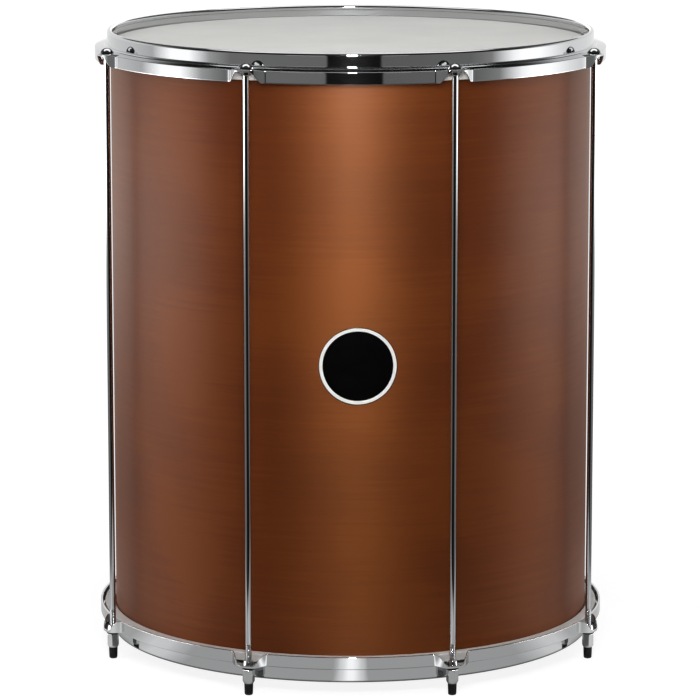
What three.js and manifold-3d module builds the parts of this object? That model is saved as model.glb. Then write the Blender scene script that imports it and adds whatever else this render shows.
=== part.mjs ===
// A surdo: a two-headed bass drum, 18 inches across and 22 inches deep.
// Millimetres, +Z up. The drum's axis is Z, its front faces -Y, and the rubber feet stand on z = 0.
import * as THREE from 'three';
import { mergeVertices } from 'three/addons/utils/BufferGeometryUtils.js';
import Module from 'manifold-3d';

const wasm = await Module();
wasm.setup();

// Facets of the turned pieces: rings as large as the drum, and the small hardware
const ringSteps = 48;
const boreSteps = 12;
const rodSteps = 10;
const badgeSteps = 24;

// Shell
const shellDiameter = 457.2;
const shellLength = 558.8;
const shellWall = 7.5;
const crestInset = 2.4;
const crestOuterDrop = 2;
const crestInnerDrop = 5;

// Heads: the film runs over the shell's edge and its lip is held in the flesh hoop's groove
const filmThickness = 0.35;
const lipReach = 3;
const lipBelowShoulder = 6.5;
const fleshWidth = 9.9;
const fleshHeight = 10;
const grooveGap = 0.3;

// Hoops: a collar with a rolled rim, a shoulder that presses the flesh hoop, and a band
const hoopWall = 1.9;
const beadDiameter = 5;
const rimAboveHead = 11;
const collarBelowHead = 2.2;
const shoulderDrop = 2.7;
const bandHeight = 11.1;
const collarClearance = 0.75;
const bandClearance = 2.25;
const beadTurnShare = 0.625;
const beadArcPoints = 5;

// Ears: the band is drawn out into a spout, with a flat shelf for the rod head or the nut
const rodCount = 8;
const earWidth = 35;
const lipWidth = 13;
const bulgePower = 2.5;
const shelfDrop = 1.3;
const lipDrop = 2.2;
const lipMargin = 1.35;
const shelfMargin = 0.1;
const cupTopDiameter = 11.2;
const cupEndDiameter = 9.2;
const cupDepth = 3.8;
const cupFleshClearance = 0.45;
const earStationShares = [1, 0.86, 0.68, 0.48, 0.27];

// Tension rods, M6
const threadDiameter = 6;
const shankDiameter = 5.5;
const threadLength = 34;
const headDiameter = 13.7;
const headHeight = 4.8;
const neckDiameter = 9.4;
const neckHeight = 3.9;
const rodChamfer = 0.6;
const domeArcPoints = 3;

// Nuts, washers and feet
const nutAcrossFlats = 10;
const nutLength = 13.5;
const nutTopChamfer = 0.6;
const nutTaper = 2.6;
const nutTaperInset = 0.9;
const washerDiameter = 12;
const washerThickness = 1.9;
const footDiameter = 8.4;
const footLength = 10.7;
const footTaper = 0.35;
const footRound = 1.2;
const stemLength = 3;
const stemToRodGap = 0.5;

// Badge
const badgeDiameter = 71.6;
const badgeThickness = 0.9;
const badgeRimWidth = 3.7;
const badgeRimRise = 0.4;
const badgeAboveMiddle = 5.5;
const badgeRingShares = [0.34, 0.67];
const badgeTurn = THREE.MathUtils.degToRad(1.7);

// Gap between pieces that touch, running clearance round a rod, and the overrun of a cutting tool
const seatGap = 0.3;
const runningGap = 0.3;
const overrun = 2;

// Radii that follow from the sizes above
const shellRadius = shellDiameter / 2;
const skirtInner = shellRadius + seatGap;
const skirtOuter = skirtInner + filmThickness;
const collarInner = skirtOuter + collarClearance;
const collarOuter = collarInner + hoopWall;
const fleshInner = skirtOuter + seatGap;
const fleshOuter = fleshInner + fleshWidth;
const bandOuter = fleshOuter + bandClearance + hoopWall;
const rodCircle = fleshOuter + cupFleshClearance + cupTopDiameter / 2;
const seatRadius = Math.max(headDiameter, washerDiameter) / 2;
const earOuter = rodCircle + seatRadius + lipMargin;
const shelfStart = rodCircle - seatRadius - shelfMargin;
const rodHole = threadDiameter / 2 + runningGap;

// Heights in one end of the drum, measured outward from the crest of the shell's edge
const filmUnder = seatGap;
const filmTop = filmUnder + filmThickness;
const rimTop = filmTop + rimAboveHead;
const collarFoot = filmTop - collarBelowHead;
const bandTop = collarFoot - shoulderDrop;
const bandFoot = bandTop - bandHeight;
const shelfTop = collarFoot - shelfDrop;
const lipFoot = shelfTop - lipDrop;
const shoulderSlope = shoulderDrop / (bandOuter - collarOuter);
const fleshTopInner = collarFoot - hoopWall - seatGap;
const fleshTopOuter = fleshTopInner - (fleshOuter - fleshInner) * shoulderSlope;
const fleshFoot = fleshTopInner - fleshHeight;
const lipMiddle = fleshTopInner - lipBelowShoulder;

// Heights on the whole drum, stacked up from the floor
const nutFoot = footLength + seatGap;
const nutTop = nutFoot + nutLength;
const washerFoot = nutTop + seatGap;
const bottomShelf = washerFoot + washerThickness + seatGap;
const shellFoot = bottomShelf + shelfTop;
const shellTop = shellFoot + shellLength;
const topShelf = shellTop + shelfTop;
const stemTop = nutFoot + stemLength;
const rodEnd = stemTop + stemToRodGap;

// Materials
const finish = (color, roughness, metalness) => new THREE.MeshStandardMaterial({ color, roughness, metalness });
const stainedWood = finish(0x6b4027, 0.45, 0);
const chrome = finish(0xc9ccd0, 0.12, 1);
const aluminium = finish(0xc4c2bd, 0.4, 1);
const polyesterFilm = finish(0xd6d6d3, 0.35, 0);
const blackNylon = finish(0x141414, 0.5, 0);
const blackRubber = finish(0x17181a, 0.75, 0);
const badgeEnamel = finish(0x0c0c0d, 0.3, 0);

// A profile of [radius, height] pairs, turned about Z. It starts and ends on the axis, or is a closed ring.
function turned(profile, steps) {
  const points = profile.map(([radius, height]) => new THREE.Vector2(radius, height));
  if (profile[0][0] > 0) points.push(points[0].clone());
  return new THREE.LatheGeometry(points, steps).rotateX(Math.PI / 2);
}

// A plain cylinder about Z
function cylinder(radius, low, high, steps) {
  return turned([[0, low], [radius, low], [radius, high], [0, high]], steps);
}

// Points of a circular arc, from one angle to another
function arc(centreX, centreY, radius, from, to, count) {
  return Array.from({ length: count + 1 }, (_, i) => {
    const angle = from + (to - from) * (i / count);
    return [centreX + radius * Math.cos(angle), centreY + radius * Math.sin(angle)];
  });
}

// A closed geometry as a solid that can be cut and joined
function solid(geometry) {
  const bare = geometry.clone();
  bare.deleteAttribute('normal');
  bare.deleteAttribute('uv');
  const merged = mergeVertices(bare);
  const corners = merged.index.array;
  const kept = [];
  for (let i = 0; i < corners.length; i += 3) {
    const [a, b, c] = [corners[i], corners[i + 1], corners[i + 2]];
    if (a !== b && b !== c && c !== a) kept.push(a, b, c);
  }
  const vertProperties = new Float32Array(merged.attributes.position.array);
  return new wasm.Manifold(new wasm.Mesh({ numProp: 3, vertProperties, triVerts: new Uint32Array(kept) }));
}

// A cut or joined solid back as a geometry
function geometryOf(manifold) {
  const mesh = manifold.getMesh();
  const geometry = new THREE.BufferGeometry();
  geometry.setAttribute('position', new THREE.BufferAttribute(mesh.vertProperties, 3));
  geometry.setIndex(new THREE.BufferAttribute(mesh.triVerts, 1));
  geometry.computeVertexNormals();
  return geometry;
}

function piece(name, geometry, material) {
  const mesh = new THREE.Mesh(geometry, material);
  mesh.name = name;
  return mesh;
}

// Angle of each rod from the drum's front, and its place on the rod circle
const rodPitch = (2 * Math.PI) / rodCount;
const rodAngles = Array.from({ length: rodCount }, (_, i) => rodPitch * (i + 0.5));

function onRodCircle(object, angle) {
  object.position.set(rodCircle * Math.sin(angle), -rodCircle * Math.cos(angle), 0);
  return object;
}

// The shell: a bent wooden tube whose two edges are cut to a crest under the heads
function shellGeometry() {
  const crest = shellRadius - crestInset;
  const bore = shellRadius - shellWall;
  return turned([
    [shellRadius, shellFoot + crestOuterDrop],
    [shellRadius, shellTop - crestOuterDrop],
    [crest, shellTop],
    [bore, shellTop - crestInnerDrop],
    [bore, shellFoot + crestInnerDrop],
    [crest, shellFoot],
  ], ringSteps);
}

// A head: flat film, drawn down outside the shell and turned out into a lip
function headGeometry() {
  const crest = shellRadius - crestInset;
  const lipTop = lipMiddle + filmThickness / 2;
  const lipUnder = lipMiddle - filmThickness / 2;
  const lipEnd = fleshInner + lipReach;
  return turned([
    [0, filmUnder],
    [crest, filmUnder],
    [skirtInner, -crestOuterDrop],
    [skirtInner, lipUnder],
    [lipEnd, lipUnder],
    [lipEnd, lipTop],
    [skirtOuter, lipTop],
    [skirtOuter, -crestOuterDrop],
    [crest, filmTop],
    [0, filmTop],
  ], ringSteps);
}

// A flesh hoop: an aluminium ring with a groove that grips the film's lip
function fleshHoopGeometry() {
  const grooveHalf = filmThickness / 2 + grooveGap;
  const grooveEnd = fleshInner + lipReach + grooveGap;
  return turned([
    [fleshInner, fleshFoot],
    [fleshOuter, fleshFoot],
    [fleshOuter, fleshTopOuter],
    [fleshInner, fleshTopInner],
    [fleshInner, lipMiddle + grooveHalf],
    [grooveEnd, lipMiddle + grooveHalf],
    [grooveEnd, lipMiddle - grooveHalf],
    [fleshInner, lipMiddle - grooveHalf],
  ], ringSteps);
}

// A hoop's cross-section at an offset from the nearest ear's middle, as a closed outline. In plan the band bulges by
// 1 - share ^ power, where the share is the offset over the ear's half width. From there to the lip's half width the
// shelf comes level and the band's lower edge rises, both on one S curve.
function hoopSection(offset) {
  const share = Math.min(offset / (earWidth / 2), 1);
  const bandRadius = THREE.MathUtils.lerp(bandOuter, earOuter, 1 - share ** bulgePower);
  const level = 1 - THREE.MathUtils.smoothstep(offset, lipWidth / 2, earWidth / 2);
  const bandCorner = THREE.MathUtils.lerp(bandTop, shelfTop, level);
  const bandEdge = THREE.MathUtils.lerp(bandFoot, lipFoot, level);
  const slopeAtShelf = collarFoot - (shelfStart - collarOuter) * shoulderSlope;
  const shelfCorner = THREE.MathUtils.lerp(slopeAtShelf, shelfTop, level);
  const beadRadius = beadDiameter / 2;
  return [
    ...arc(collarOuter - beadRadius, rimTop - beadRadius, beadRadius, 0, 2 * Math.PI * beadTurnShare, beadArcPoints),
    [collarInner, rimTop - beadDiameter],
    [collarInner, collarFoot - hoopWall],
    [shelfStart, shelfCorner - hoopWall],
    [bandRadius - hoopWall, bandCorner - hoopWall],
    [bandRadius - hoopWall, bandEdge],
    [bandRadius, bandEdge],
    [bandRadius, bandCorner],
    [shelfStart, shelfCorner],
    [collarOuter, collarFoot],
  ];
}

// Angles at which the hoop's section is set out: plain ones at the ring's own steps, and closer ones on each ear
function hoopStations() {
  const earHalf = earWidth / 2;
  const stations = [];
  for (const middle of rodAngles) {
    stations.push({ angle: middle, offset: 0 });
    for (const share of earStationShares) {
      const offset = earHalf * share;
      const turn = offset / rodCircle;
      stations.push({ angle: middle - turn, offset }, { angle: middle + turn, offset });
    }
  }
  const ringStep = (2 * Math.PI) / ringSteps;
  for (let i = 0; i < ringSteps; i += 1) {
    const angle = ringStep * i;
    const offset = rodCircle * Math.min(...rodAngles.map((middle) => Math.abs(angle - middle)));
    if (offset > earHalf) stations.push({ angle, offset });
  }
  return stations.sort((a, b) => a.angle - b.angle);
}

// The pressed hoop before its cups and holes: the section carried round the stations and closed on itself
function hoopBlank() {
  const stations = hoopStations();
  const sections = stations.map(({ offset }) => hoopSection(offset));
  const around = stations.length;
  const along = sections[0].length;
  const positions = [];
  const index = [];
  stations.forEach(({ angle }, i) => {
    for (const [radius, height] of sections[i]) {
      positions.push(radius * Math.sin(angle), -radius * Math.cos(angle), height);
    }
    for (let j = 0; j < along; j += 1) {
      const here = i * along;
      const next = ((i + 1) % around) * along;
      const up = (j + 1) % along;
      index.push(here + j, next + j, here + up, next + j, next + up, here + up);
    }
  });
  const geometry = new THREE.BufferGeometry();
  geometry.setAttribute('position', new THREE.Float32BufferAttribute(positions, 3));
  geometry.setIndex(index);
  return geometry;
}

// The conical cup pressed into an ear's shelf, and the tool that opens it for the rod
function cupBody() {
  const cupTop = shelfTop - hoopWall;
  const rooted = shelfTop - hoopWall / 2;
  const cupFoot = cupTop - cupDepth;
  return turned([
    [0, cupFoot],
    [cupEndDiameter / 2, cupFoot],
    [cupTopDiameter / 2, cupTop],
    [cupTopDiameter / 2, rooted],
    [0, rooted],
  ], boreSteps);
}

function cupBore() {
  const mouth = neckDiameter / 2 + seatGap;
  const neckFoot = shelfTop - neckHeight;
  const cupFoot = shelfTop - hoopWall - cupDepth;
  return turned([
    [0, cupFoot - overrun],
    [rodHole, cupFoot - overrun],
    [rodHole, neckFoot],
    [mouth, shelfTop],
    [mouth, shelfTop + overrun],
    [0, shelfTop + overrun],
  ], boreSteps);
}

// A whole hoop, with a cup and a rod hole in every ear
function hoopGeometry() {
  let hoop = solid(hoopBlank());
  for (const angle of rodAngles) {
    const place = (geometry) => {
      const turn = geometry.rotateZ(angle);
      return solid(turn.translate(rodCircle * Math.sin(angle), -rodCircle * Math.cos(angle), 0));
    };
    hoop = hoop.add(place(cupBody())).subtract(place(cupBore()));
  }
  return geometryOf(hoop);
}

// A tension rod: threaded end, plain shank, conical neck and domed head
function rodGeometry() {
  const thread = threadDiameter / 2;
  const shank = shankDiameter / 2;
  const seat = topShelf + seatGap;
  const headRadius = headDiameter / 2;
  const domeRadius = (headRadius ** 2 + headHeight ** 2) / (2 * headHeight);
  const domeFrom = Math.asin((domeRadius - headHeight) / domeRadius);
  const dome = arc(0, seat + headHeight - domeRadius, domeRadius, domeFrom, Math.PI / 2, domeArcPoints);
  return turned([
    [0, rodEnd],
    [thread - rodChamfer, rodEnd],
    [thread, rodEnd + rodChamfer],
    [thread, rodEnd + threadLength],
    [shank, rodEnd + threadLength + rodChamfer],
    [shank, seat - neckHeight],
    [neckDiameter / 2, seat],
    ...dome.slice(0, -1),
    [0, seat + headHeight],
  ], rodSteps);
}

// A sleeve nut: a hexagon bored through, chamfered at the top and drawn in at its lower end
function nutGeometry() {
  const corner = nutAcrossFlats / 2 / Math.cos(Math.PI / 6);
  const hexagon = cylinder(corner, nutFoot, nutTop, 6);
  const turning = turned([
    [0, nutFoot],
    [corner - nutTaperInset, nutFoot],
    [corner, nutFoot + nutTaper],
    [corner, nutTop - nutTopChamfer],
    [corner - nutTopChamfer, nutTop],
    [0, nutTop],
  ], boreSteps);
  const bore = cylinder(rodHole, nutFoot - overrun, nutTop + overrun, boreSteps);
  return geometryOf(solid(hexagon).intersect(solid(turning)).subtract(solid(bore)));
}

function washerGeometry() {
  const radius = washerDiameter / 2;
  const top = washerFoot + washerThickness;
  return turned([[rodHole, washerFoot], [radius, washerFoot], [radius, top], [rodHole, top]], boreSteps);
}

// A rubber foot: a slightly tapered plug whose stem is pushed into the nut's bore
function footGeometry() {
  const radius = footDiameter / 2;
  const tip = radius - footTaper;
  const stem = rodHole - seatGap;
  return turned([
    [0, 0],
    [tip - footRound, 0],
    [tip, footRound],
    [radius, footLength],
    [stem, footLength],
    [stem, stemTop],
    [0, stemTop],
  ], rodSteps);
}

// The badge: a thin disc with a raised rim, bent round the shell. Rings of [radius, thickness] from the middle out.
function badgeGeometry() {
  const rim = badgeDiameter / 2;
  const inside = rim - badgeRimWidth;
  const raised = badgeThickness + badgeRimRise;
  const fieldRings = badgeRingShares.map((share) => inside * share);
  const backRings = [...fieldRings, inside, rim].map((radius) => [radius, 0]);
  const frontRings = fieldRings.map((radius) => [radius, badgeThickness]).reverse();
  const rings = [...backRings, [rim, raised], [inside, raised], [inside, badgeThickness], ...frontRings];
  const back = shellRadius + seatGap;
  const middleHeight = (shellFoot + shellTop) / 2 + badgeAboveMiddle;
  const bent = (across, up, out) => {
    const angle = badgeTurn + across / back;
    const radius = back + out;
    return [radius * Math.sin(angle), -radius * Math.cos(angle), middleHeight + up];
  };
  const positions = [...bent(0, 0, 0)];
  for (const [radius, out] of rings) {
    for (let i = 0; i < badgeSteps; i += 1) {
      const angle = (2 * Math.PI * i) / badgeSteps;
      positions.push(...bent(radius * Math.cos(angle), radius * Math.sin(angle), out));
    }
  }
  positions.push(...bent(0, 0, badgeThickness));
  const last = rings.length * badgeSteps + 1;
  const index = [];
  for (let i = 0; i < badgeSteps; i += 1) {
    const next = (i + 1) % badgeSteps;
    index.push(0, next + 1, i + 1);
    for (let ring = 0; ring + 1 < rings.length; ring += 1) {
      const here = 1 + ring * badgeSteps;
      const beyond = here + badgeSteps;
      index.push(here + i, here + next, beyond + i, here + next, beyond + next, beyond + i);
    }
    const inner = last - badgeSteps;
    index.push(inner + i, inner + next, last);
  }
  const geometry = new THREE.BufferGeometry();
  geometry.setAttribute('position', new THREE.Float32BufferAttribute(positions, 3));
  geometry.setIndex(index);
  return geometry;
}

// One end of the drum: head, flesh hoop and hoop, in a frame whose +Z points out of the shell
function drumEnd(headName, fleshName, hoopName) {
  const end = new THREE.Group();
  end.add(piece(headName, headGeometry(), polyesterFilm));
  end.add(piece(fleshName, fleshHoopGeometry(), aluminium));
  end.add(piece(hoopName, hoopGeometry(), chrome));
  return end;
}

// The hardware on one rod: the rod, its nut, the washer and the rubber foot
function tensioner(number, angle) {
  const group = new THREE.Group();
  group.add(piece(`tension_rod_${number}`, rodGeometry(), chrome));
  group.add(piece(`tension_nut_${number}`, nutGeometry(), chrome));
  group.add(piece(`nut_washer_${number}`, washerGeometry(), blackNylon));
  group.add(piece(`rubber_foot_${number}`, footGeometry(), blackRubber));
  group.rotation.z = angle;
  return onRodCircle(group, angle);
}

const surdo = new THREE.Group();
surdo.add(piece('shell', shellGeometry(), stainedWood));

const top = drumEnd('batter_head', 'batter_flesh_hoop', 'top_hoop');
top.position.z = shellTop;
surdo.add(top);

const bottom = drumEnd('resonant_head', 'resonant_flesh_hoop', 'bottom_hoop');
bottom.position.z = shellFoot;
bottom.rotation.x = Math.PI;
surdo.add(bottom);

rodAngles.forEach((angle, i) => surdo.add(tensioner(i + 1, angle)));
surdo.add(piece('badge', badgeGeometry(), badgeEnamel));

export default surdo;
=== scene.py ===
import math
import bpy
import numpy as np
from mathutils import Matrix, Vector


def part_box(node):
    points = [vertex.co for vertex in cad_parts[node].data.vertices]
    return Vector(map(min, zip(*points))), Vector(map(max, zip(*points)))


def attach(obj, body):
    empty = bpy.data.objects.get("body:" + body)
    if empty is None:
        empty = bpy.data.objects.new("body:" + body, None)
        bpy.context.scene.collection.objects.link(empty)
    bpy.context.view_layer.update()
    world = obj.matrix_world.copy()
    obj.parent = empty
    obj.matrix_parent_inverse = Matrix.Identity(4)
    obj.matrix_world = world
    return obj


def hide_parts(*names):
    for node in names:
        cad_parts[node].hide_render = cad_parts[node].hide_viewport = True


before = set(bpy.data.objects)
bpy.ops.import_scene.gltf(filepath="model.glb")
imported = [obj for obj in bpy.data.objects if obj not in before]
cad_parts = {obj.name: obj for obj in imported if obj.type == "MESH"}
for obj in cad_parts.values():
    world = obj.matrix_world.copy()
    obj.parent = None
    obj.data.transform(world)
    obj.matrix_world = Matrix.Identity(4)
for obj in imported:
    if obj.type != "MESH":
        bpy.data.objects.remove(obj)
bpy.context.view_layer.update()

# A surdo, 18 inches across and 22 inches deep. Sizes are written in millimetres and put into the meshes in
# metres. The drum's axis is Z, its front faces -Y, and the rubber feet stand on z = 0.
mm = 0.001
rodCount = 8
rodAngles = 2 * math.pi / rodCount * (np.arange(rodCount) + 0.5)  # from the front, toward +X

# Sizes that several pieces share. Below zero they are heights in an end's own frame, measured from the
# crest of the shell's edge toward the drum's middle.
drum = {
    "shellRadius": 228.6,
    "shellTop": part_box("shell")[1].z / mm,
    "shellFoot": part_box("shell")[0].z / mm,
    "crestInset": 2.4,
    "filmThickness": 0.35,
    "seatGap": 0.3,
    "skirtInner": 228.9,
    "fleshInner": 229.55,
    "fleshTop": -3.75,
    "lipMiddle": -10.25,
    "rodCircle": 245.5,
    "shelfTop": -2.85,
    "rodHole": 3.3,
}


# Surfaces worked out as whole arrays

# How corners are rounded: the steps of an arc, the cosine of the sharpest turn, the shortest tangent, the
# most of a straight run that one may take, and how far the extra point stands from the arc, in millimetres
# and as a share
bending = {"steps": 4, "sharpest": -0.999, "shortest": 0.02, "mostOfRun": 0.46, "flatPoint": 0.3,
           "flatShare": 0.03}


def roundedOutline(corners, radii, steps=bending["steps"]):
    # A closed outline of (radius, height) corners with every corner rounded. Each arc is the exact circle
    # as a rational curve: ((1-t)^2 A + 2t(1-t) w C + t^2 B) over the same sum of weights, where C is the
    # corner, A and B are the tangent points beside it, and the weight w is the cosine of half the turn. One
    # more point on the straight run at each end of the arc keeps the run's shading flat, so a corner has
    # cornerPoints(steps) points.
    corners = np.asarray(corners, float)
    toCorner = corners - np.roll(corners, 1, axis=-2)
    fromCorner = np.roll(corners, -1, axis=-2) - corners
    lengthIn = np.linalg.norm(toCorner, axis=-1)
    lengthOut = np.linalg.norm(fromCorner, axis=-1)
    directionIn = toCorner / lengthIn[..., None]
    directionOut = fromCorner / lengthOut[..., None]
    cosTurn = np.clip((directionIn * directionOut).sum(-1), bending["sharpest"], 1)
    tangent = np.asarray(radii, float) * np.sqrt((1 - cosTurn) / (1 + cosTurn))
    longest = bending["mostOfRun"] * np.minimum(lengthIn, lengthOut)
    tangent = np.clip(tangent, bending["shortest"], longest)[..., None, None]
    weight = np.sqrt((1 + cosTurn) / 2)[..., None, None]
    t = np.linspace(0, 1, steps + 1)[:, None]
    corner = corners[..., None, :]
    start = corner - directionIn[..., None, :] * tangent
    end = corner + directionOut[..., None, :] * tangent
    total = (1 - t) ** 2 + 2 * t * (1 - t) * weight + t ** 2
    points = ((1 - t) ** 2 * start + 2 * t * (1 - t) * weight * corner + t ** 2 * end) / total
    stepIn = np.minimum(bending["flatPoint"], bending["flatShare"] * lengthIn)[..., None, None]
    stepOut = np.minimum(bending["flatPoint"], bending["flatShare"] * lengthOut)[..., None, None]
    before = start - directionIn[..., None, :] * stepIn
    after = end + directionOut[..., None, :] * stepOut
    points = np.concatenate([before, points, after], -2)
    return points.reshape(corners.shape[:-2] + (-1, 2))


def cornerPoints(steps=bending["steps"]):
    return steps + 3


def gridQuads(rows, columns, closed=True):
    # Corner numbers of the four-sided faces of a grid of vertices. The rows close round on themselves, and
    # so do the columns where closed is set.
    row = np.arange(rows)[:, None]
    column = np.arange(columns if closed else columns - 1)[None, :]
    nextColumn = (column + 1) % columns
    here = row * columns
    there = (row + 1) % rows * columns
    faces = np.stack([here + column, there + column, there + nextColumn, here + nextColumn], -1)
    return faces.reshape(-1, 4)


def putMesh(name, points, quads, triangles=None, sharpAngle=32, faceMaterial=None):
    # Puts arrays of points in millimetres and of corner numbers into a new object at the origin, in metres
    triangles = np.zeros((0, 3), int) if triangles is None else np.asarray(triangles)
    corners = np.concatenate([quads.ravel(), triangles.ravel()]).astype(np.int32)
    sizes = np.concatenate([np.full(len(quads), 4), np.full(len(triangles), 3)])
    starts = np.concatenate([[0], np.cumsum(sizes)[:-1]]).astype(np.int32)
    mesh = bpy.data.meshes.new(name)
    mesh.vertices.add(len(points))
    mesh.vertices.foreach_set("co", (points * mm).astype(np.float32).ravel())
    mesh.loops.add(len(corners))
    mesh.loops.foreach_set("vertex_index", corners)
    mesh.polygons.add(len(starts))
    mesh.polygons.foreach_set("loop_start", starts)
    if faceMaterial is not None:
        mesh.polygons.foreach_set("material_index", faceMaterial.astype(np.int32))
    mesh.update(calc_edges=True)
    mesh.shade_smooth()
    mesh.set_sharp_from_angle(angle=math.radians(sharpAngle))
    piece = bpy.data.objects.new(name, mesh)
    bpy.context.scene.collection.objects.link(piece)
    return piece


def turnedSurface(profile, steps):
    # A profile of (radius, height) turned about Z: the point at angle a is (r sin a, -r cos a, h). One that
    # starts and ends on the axis closes with a pole vertex at each end, and any other is a closed ring.
    profile = np.asarray(profile, float)
    angle = 2 * math.pi * np.arange(steps)[:, None] / steps
    onAxis = profile[0, 0] == 0
    ring = profile[1:-1] if onAxis else profile
    radius, height = ring[None, :, 0], ring[None, :, 1]
    points = np.stack(np.broadcast_arrays(radius * np.sin(angle), -radius * np.cos(angle), height), -1)
    points = points.reshape(-1, 3)
    quads = gridQuads(steps, len(ring), closed=not onAxis)
    if not onAxis:
        return points, quads, None
    low, high = len(points), len(points) + 1
    points = np.concatenate([points, [[0, 0, profile[0, 1]], [0, 0, profile[-1, 1]]]])
    first = np.arange(steps) * len(ring)
    last = first + len(ring) - 1
    lowFan = np.stack([np.full(steps, low), np.roll(first, -1), first], -1)
    highFan = np.stack([np.full(steps, high), last, np.roll(last, -1)], -1)
    return points, quads, np.concatenate([lowFan, highFan])


def onRod(points, angle):
    # Turns points made about a rod's own axis by the rod's angle and carries them out to the rod circle
    x, y, z = points.T
    sine, cosine = math.sin(angle), math.cos(angle)
    turned = np.stack([x * cosine - y * sine, x * sine + y * cosine, z], -1)
    return turned + np.array([sine, -cosine, 0]) * drum["rodCircle"]


def atEnd(points, top):
    # Carries points from an end's own frame, whose +Z points out of the shell, to the shell's top or bottom
    if top:
        return points + np.array([0, 0, drum["shellTop"]])
    return points * np.array([1, -1, -1]) + np.array([0, 0, drum["shellFoot"]])


def finishPiece(piece, materials, body, slot, *nodes):
    # Gives a piece its materials and the body it rides on, and hides the CAD nodes it stands for. The slot
    # is not used.
    for material in materials:
        piece.data.materials.append(material)
    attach(piece, body)
    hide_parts(*nodes)


# Materials

def linear(hexColour):
    # An sRGB hex colour as the linear red, green, blue and alpha that the nodes use
    srgb = np.array([int(hexColour[i:i + 2], 16) for i in (1, 3, 5)]) / 255
    value = np.where(srgb <= 0.04045, srgb / 12.92, ((srgb + 0.055) / 1.055) ** 2.4)
    return (*value.tolist(), 1)


def perMetre(sizeInMm):
    # The scale at which a texture's feature is that many millimetres long on Object coordinates in metres
    return 1 / (sizeInMm * mm)


def addNode(tree, kind, settings=None, links=None):
    # Adds one node. Settings are its own options, unlinked sockets by name or number, or a ramp's stops;
    # links go from other nodes' sockets to its inputs.
    node = tree.nodes.new("ShaderNode" + kind)
    for key, value in (settings or {}).items():
        if key == "stops":
            for i, (position, hexColour) in enumerate(value):
                stop = node.color_ramp.elements[i] if i < 2 else node.color_ramp.elements.new(position)
                stop.position, stop.color = position, linear(hexColour)
        elif isinstance(key, str) and hasattr(node, key):
            setattr(node, key, value)
        else:
            node.inputs[key].default_value = value
    for key, socket in (links or {}).items():
        tree.links.new(socket, node.inputs[key])
    return node


def newMaterial(name):
    # An empty material, its node tree, and the socket that gives the place in the piece's own coordinates
    material = bpy.data.materials.new(name)
    material.use_nodes = True
    tree = material.node_tree
    tree.nodes.clear()
    return material, tree, addNode(tree, "TexCoord").outputs["Object"]


# Birch veneer, bent and glued up, stained brown and sprayed with satin lacquer. The grain runs round the
# drum, so a lamp's shine is drawn out up and down the shell and stays narrow across it. The fibres shine in
# the wood's own colour, as a part metal does, and the lacquer adds a thin, paler gloss. Real pores are finer
# than the render shows, so grain and flecks are drawn coarser.
wood = {
    "light": "#652c0b", "middle": "#5d2509", "dark": "#562108", "stainAt": (0.6, 0.82, 1),
    "cloud": 90, "grainLength": 120, "grainHeight": 4.0, "grainShare": 0.7, "grainDepth": 0.05,
    "grainBump": 0.2,
    "fleck": "#6c3618", "fleckLength": 12, "fleckHeight": 1.4, "fleckFrom": 0.62, "fleckTo": 0.8,
    "fleckMost": 0.25,
    "sheen": "#ffc87e", "sheenMetal": 0.32, "sheenLevel": 0.54, "roughness": 0.56, "ior": 1.5,
    "drawnOut": 0.5, "drawnTurn": 0.25, "lacquer": 0.14, "lacquerRoughness": 0.34,
}


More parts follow.
